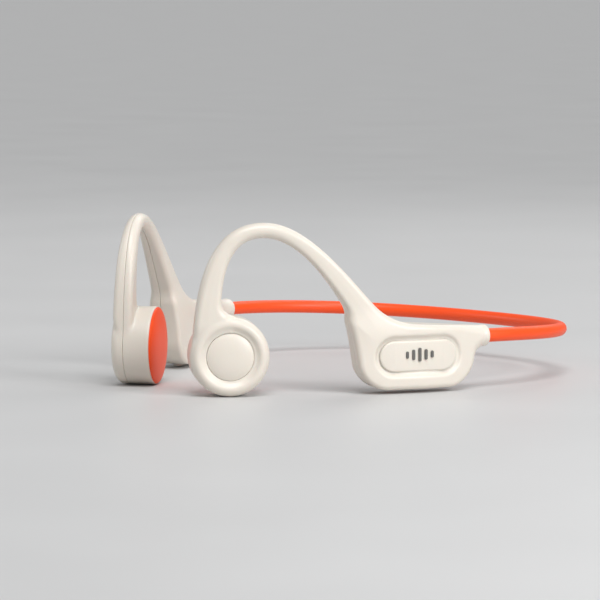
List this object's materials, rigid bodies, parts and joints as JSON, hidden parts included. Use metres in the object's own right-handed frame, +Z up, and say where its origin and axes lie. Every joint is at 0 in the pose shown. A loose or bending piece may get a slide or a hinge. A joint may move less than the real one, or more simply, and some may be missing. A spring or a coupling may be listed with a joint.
{
  "type": "bone conduction headphones",
  "caption": "Behind-the-head bone conduction headphones: round sound discs with soft pads, arched ear hooks, flat pods behind the ears, and a springy neckband.",
  "frame": {"origin": "bottom centre of the whole object, standing on its two sound discs", "axes": "the wearer faces -Y with the wearer's left at +X; +Z is up; the neckband is at +Y"},
  "size_m": [0.1238, 0.1484, 0.052],
  "materials": {
    "cream_shell": "warm off-white satin paint on a moulded shell",
    "orange_silicone": "matte orange silicone",
    "graphite_plastic": "black moulded plastic",
    "stainless": "stamped stainless steel",
    "nickel_magnet": "nickel-plated magnet",
    "copper_winding": "enamelled copper winding",
    "gold_contact": "gold-plated contact",
    "circuit_board": "green circuit board",
    "battery_foil": "laminated foil pouch",
    "radio_shield": "tinned shield can",
    "light_guide": "clear moulded light guide",
    "titanium_wire": "springy titanium wire",
    "cable_jacket": "thin black cable jacket"
  },
  "bodies": {
    "right_arm": {"right_outer_shell": "cream_shell", "right_inner_shell": "cream_shell", "right_badge_plate": "cream_shell", "right_contact_pad": "orange_silicone", "right_pad_carrier": "graphite_plastic", "right_exciter_bracket": "stainless", "right_voice_coil": "copper_winding", "right_flexure": "stainless", "right_hook_wire": "titanium_wire", "right_hook_cable": "cable_jacket", "right_band_ferrule": "stainless", "right_band_sleeve": "orange_silicone", "right_band_wire": "titanium_wire", "right_band_cable": "cable_jacket", "right_disc_cap": "cream_shell", "right_main_board": "circuit_board", "right_radio_module": "radio_shield", "right_antenna": "gold_contact", "right_volume_up_switch": "graphite_plastic", "right_volume_down_switch": "graphite_plastic", "right_charge_pin_front": "gold_contact", "right_charge_pin_rear": "gold_contact", "right_charge_board": "circuit_board", "right_light_pipe": "light_guide", "right_microphone": "stainless"},
    "left_arm": {"left_outer_shell": "cream_shell", "left_inner_shell": "cream_shell", "left_badge_plate": "cream_shell", "left_contact_pad": "orange_silicone", "left_pad_carrier": "graphite_plastic", "left_exciter_bracket": "stainless", "left_voice_coil": "copper_winding", "left_flexure": "stainless", "left_hook_wire": "titanium_wire", "left_hook_cable": "cable_jacket", "left_band_ferrule": "stainless", "left_band_sleeve": "orange_silicone", "left_band_wire": "titanium_wire", "left_band_cable": "cable_jacket", "left_button_switch": "graphite_plastic", "left_button_board": "circuit_board", "left_battery": "battery_foil", "left_battery_board": "circuit_board"},
    "multifunction_button": {"left_multifunction_button": "cream_shell"},
    "left_exciter_mass": {"left_exciter_yoke": "stainless", "left_exciter_magnet": "nickel_magnet", "left_exciter_pole_plate": "stainless"},
    "right_exciter_mass": {"right_exciter_yoke": "stainless", "right_exciter_magnet": "nickel_magnet", "right_exciter_pole_plate": "stainless"},
    "volume_up_button": {"right_volume_up_button": "cream_shell"},
    "volume_down_button": {"right_volume_down_button": "cream_shell"}
  },
  "joints": [
    {"name": "neckband_flex", "type": "hinge", "parent": "right_arm", "child": "left_arm", "pos_m": [0, 0.07425, 0.013], "axis": [0, 0, 1], "range_deg": [0, 40], "stiffness_Nm_per_rad": 0.4},
    {"name": "multifunction_press", "type": "slide", "parent": "left_arm", "child": "multifunction_button", "axis": [-0.809, 0.5878, 0], "range_m": [0, 0.00045], "stiffness_N_per_m": 400},
    {"name": "left_exciter_shake", "type": "slide", "parent": "left_arm", "child": "left_exciter_mass", "axis": [0.809, -0.5878, 0], "range_m": [-0.0002, 0.0002], "stiffness_N_per_m": 300},
    {"name": "right_exciter_shake", "type": "slide", "parent": "right_arm", "child": "right_exciter_mass", "axis": [-0.809, -0.5878, 0], "range_m": [-0.0002, 0.0002], "stiffness_N_per_m": 300},
    {"name": "volume_up_press", "type": "slide", "parent": "right_arm", "child": "volume_up_button", "axis": [0, 0, 1], "range_m": [0, 0.0004], "stiffness_N_per_m": 400},
    {"name": "volume_down_press", "type": "slide", "parent": "right_arm", "child": "volume_down_button", "axis": [0, 0, 1], "range_m": [0, 0.0004], "stiffness_N_per_m": 400}
  ]
}
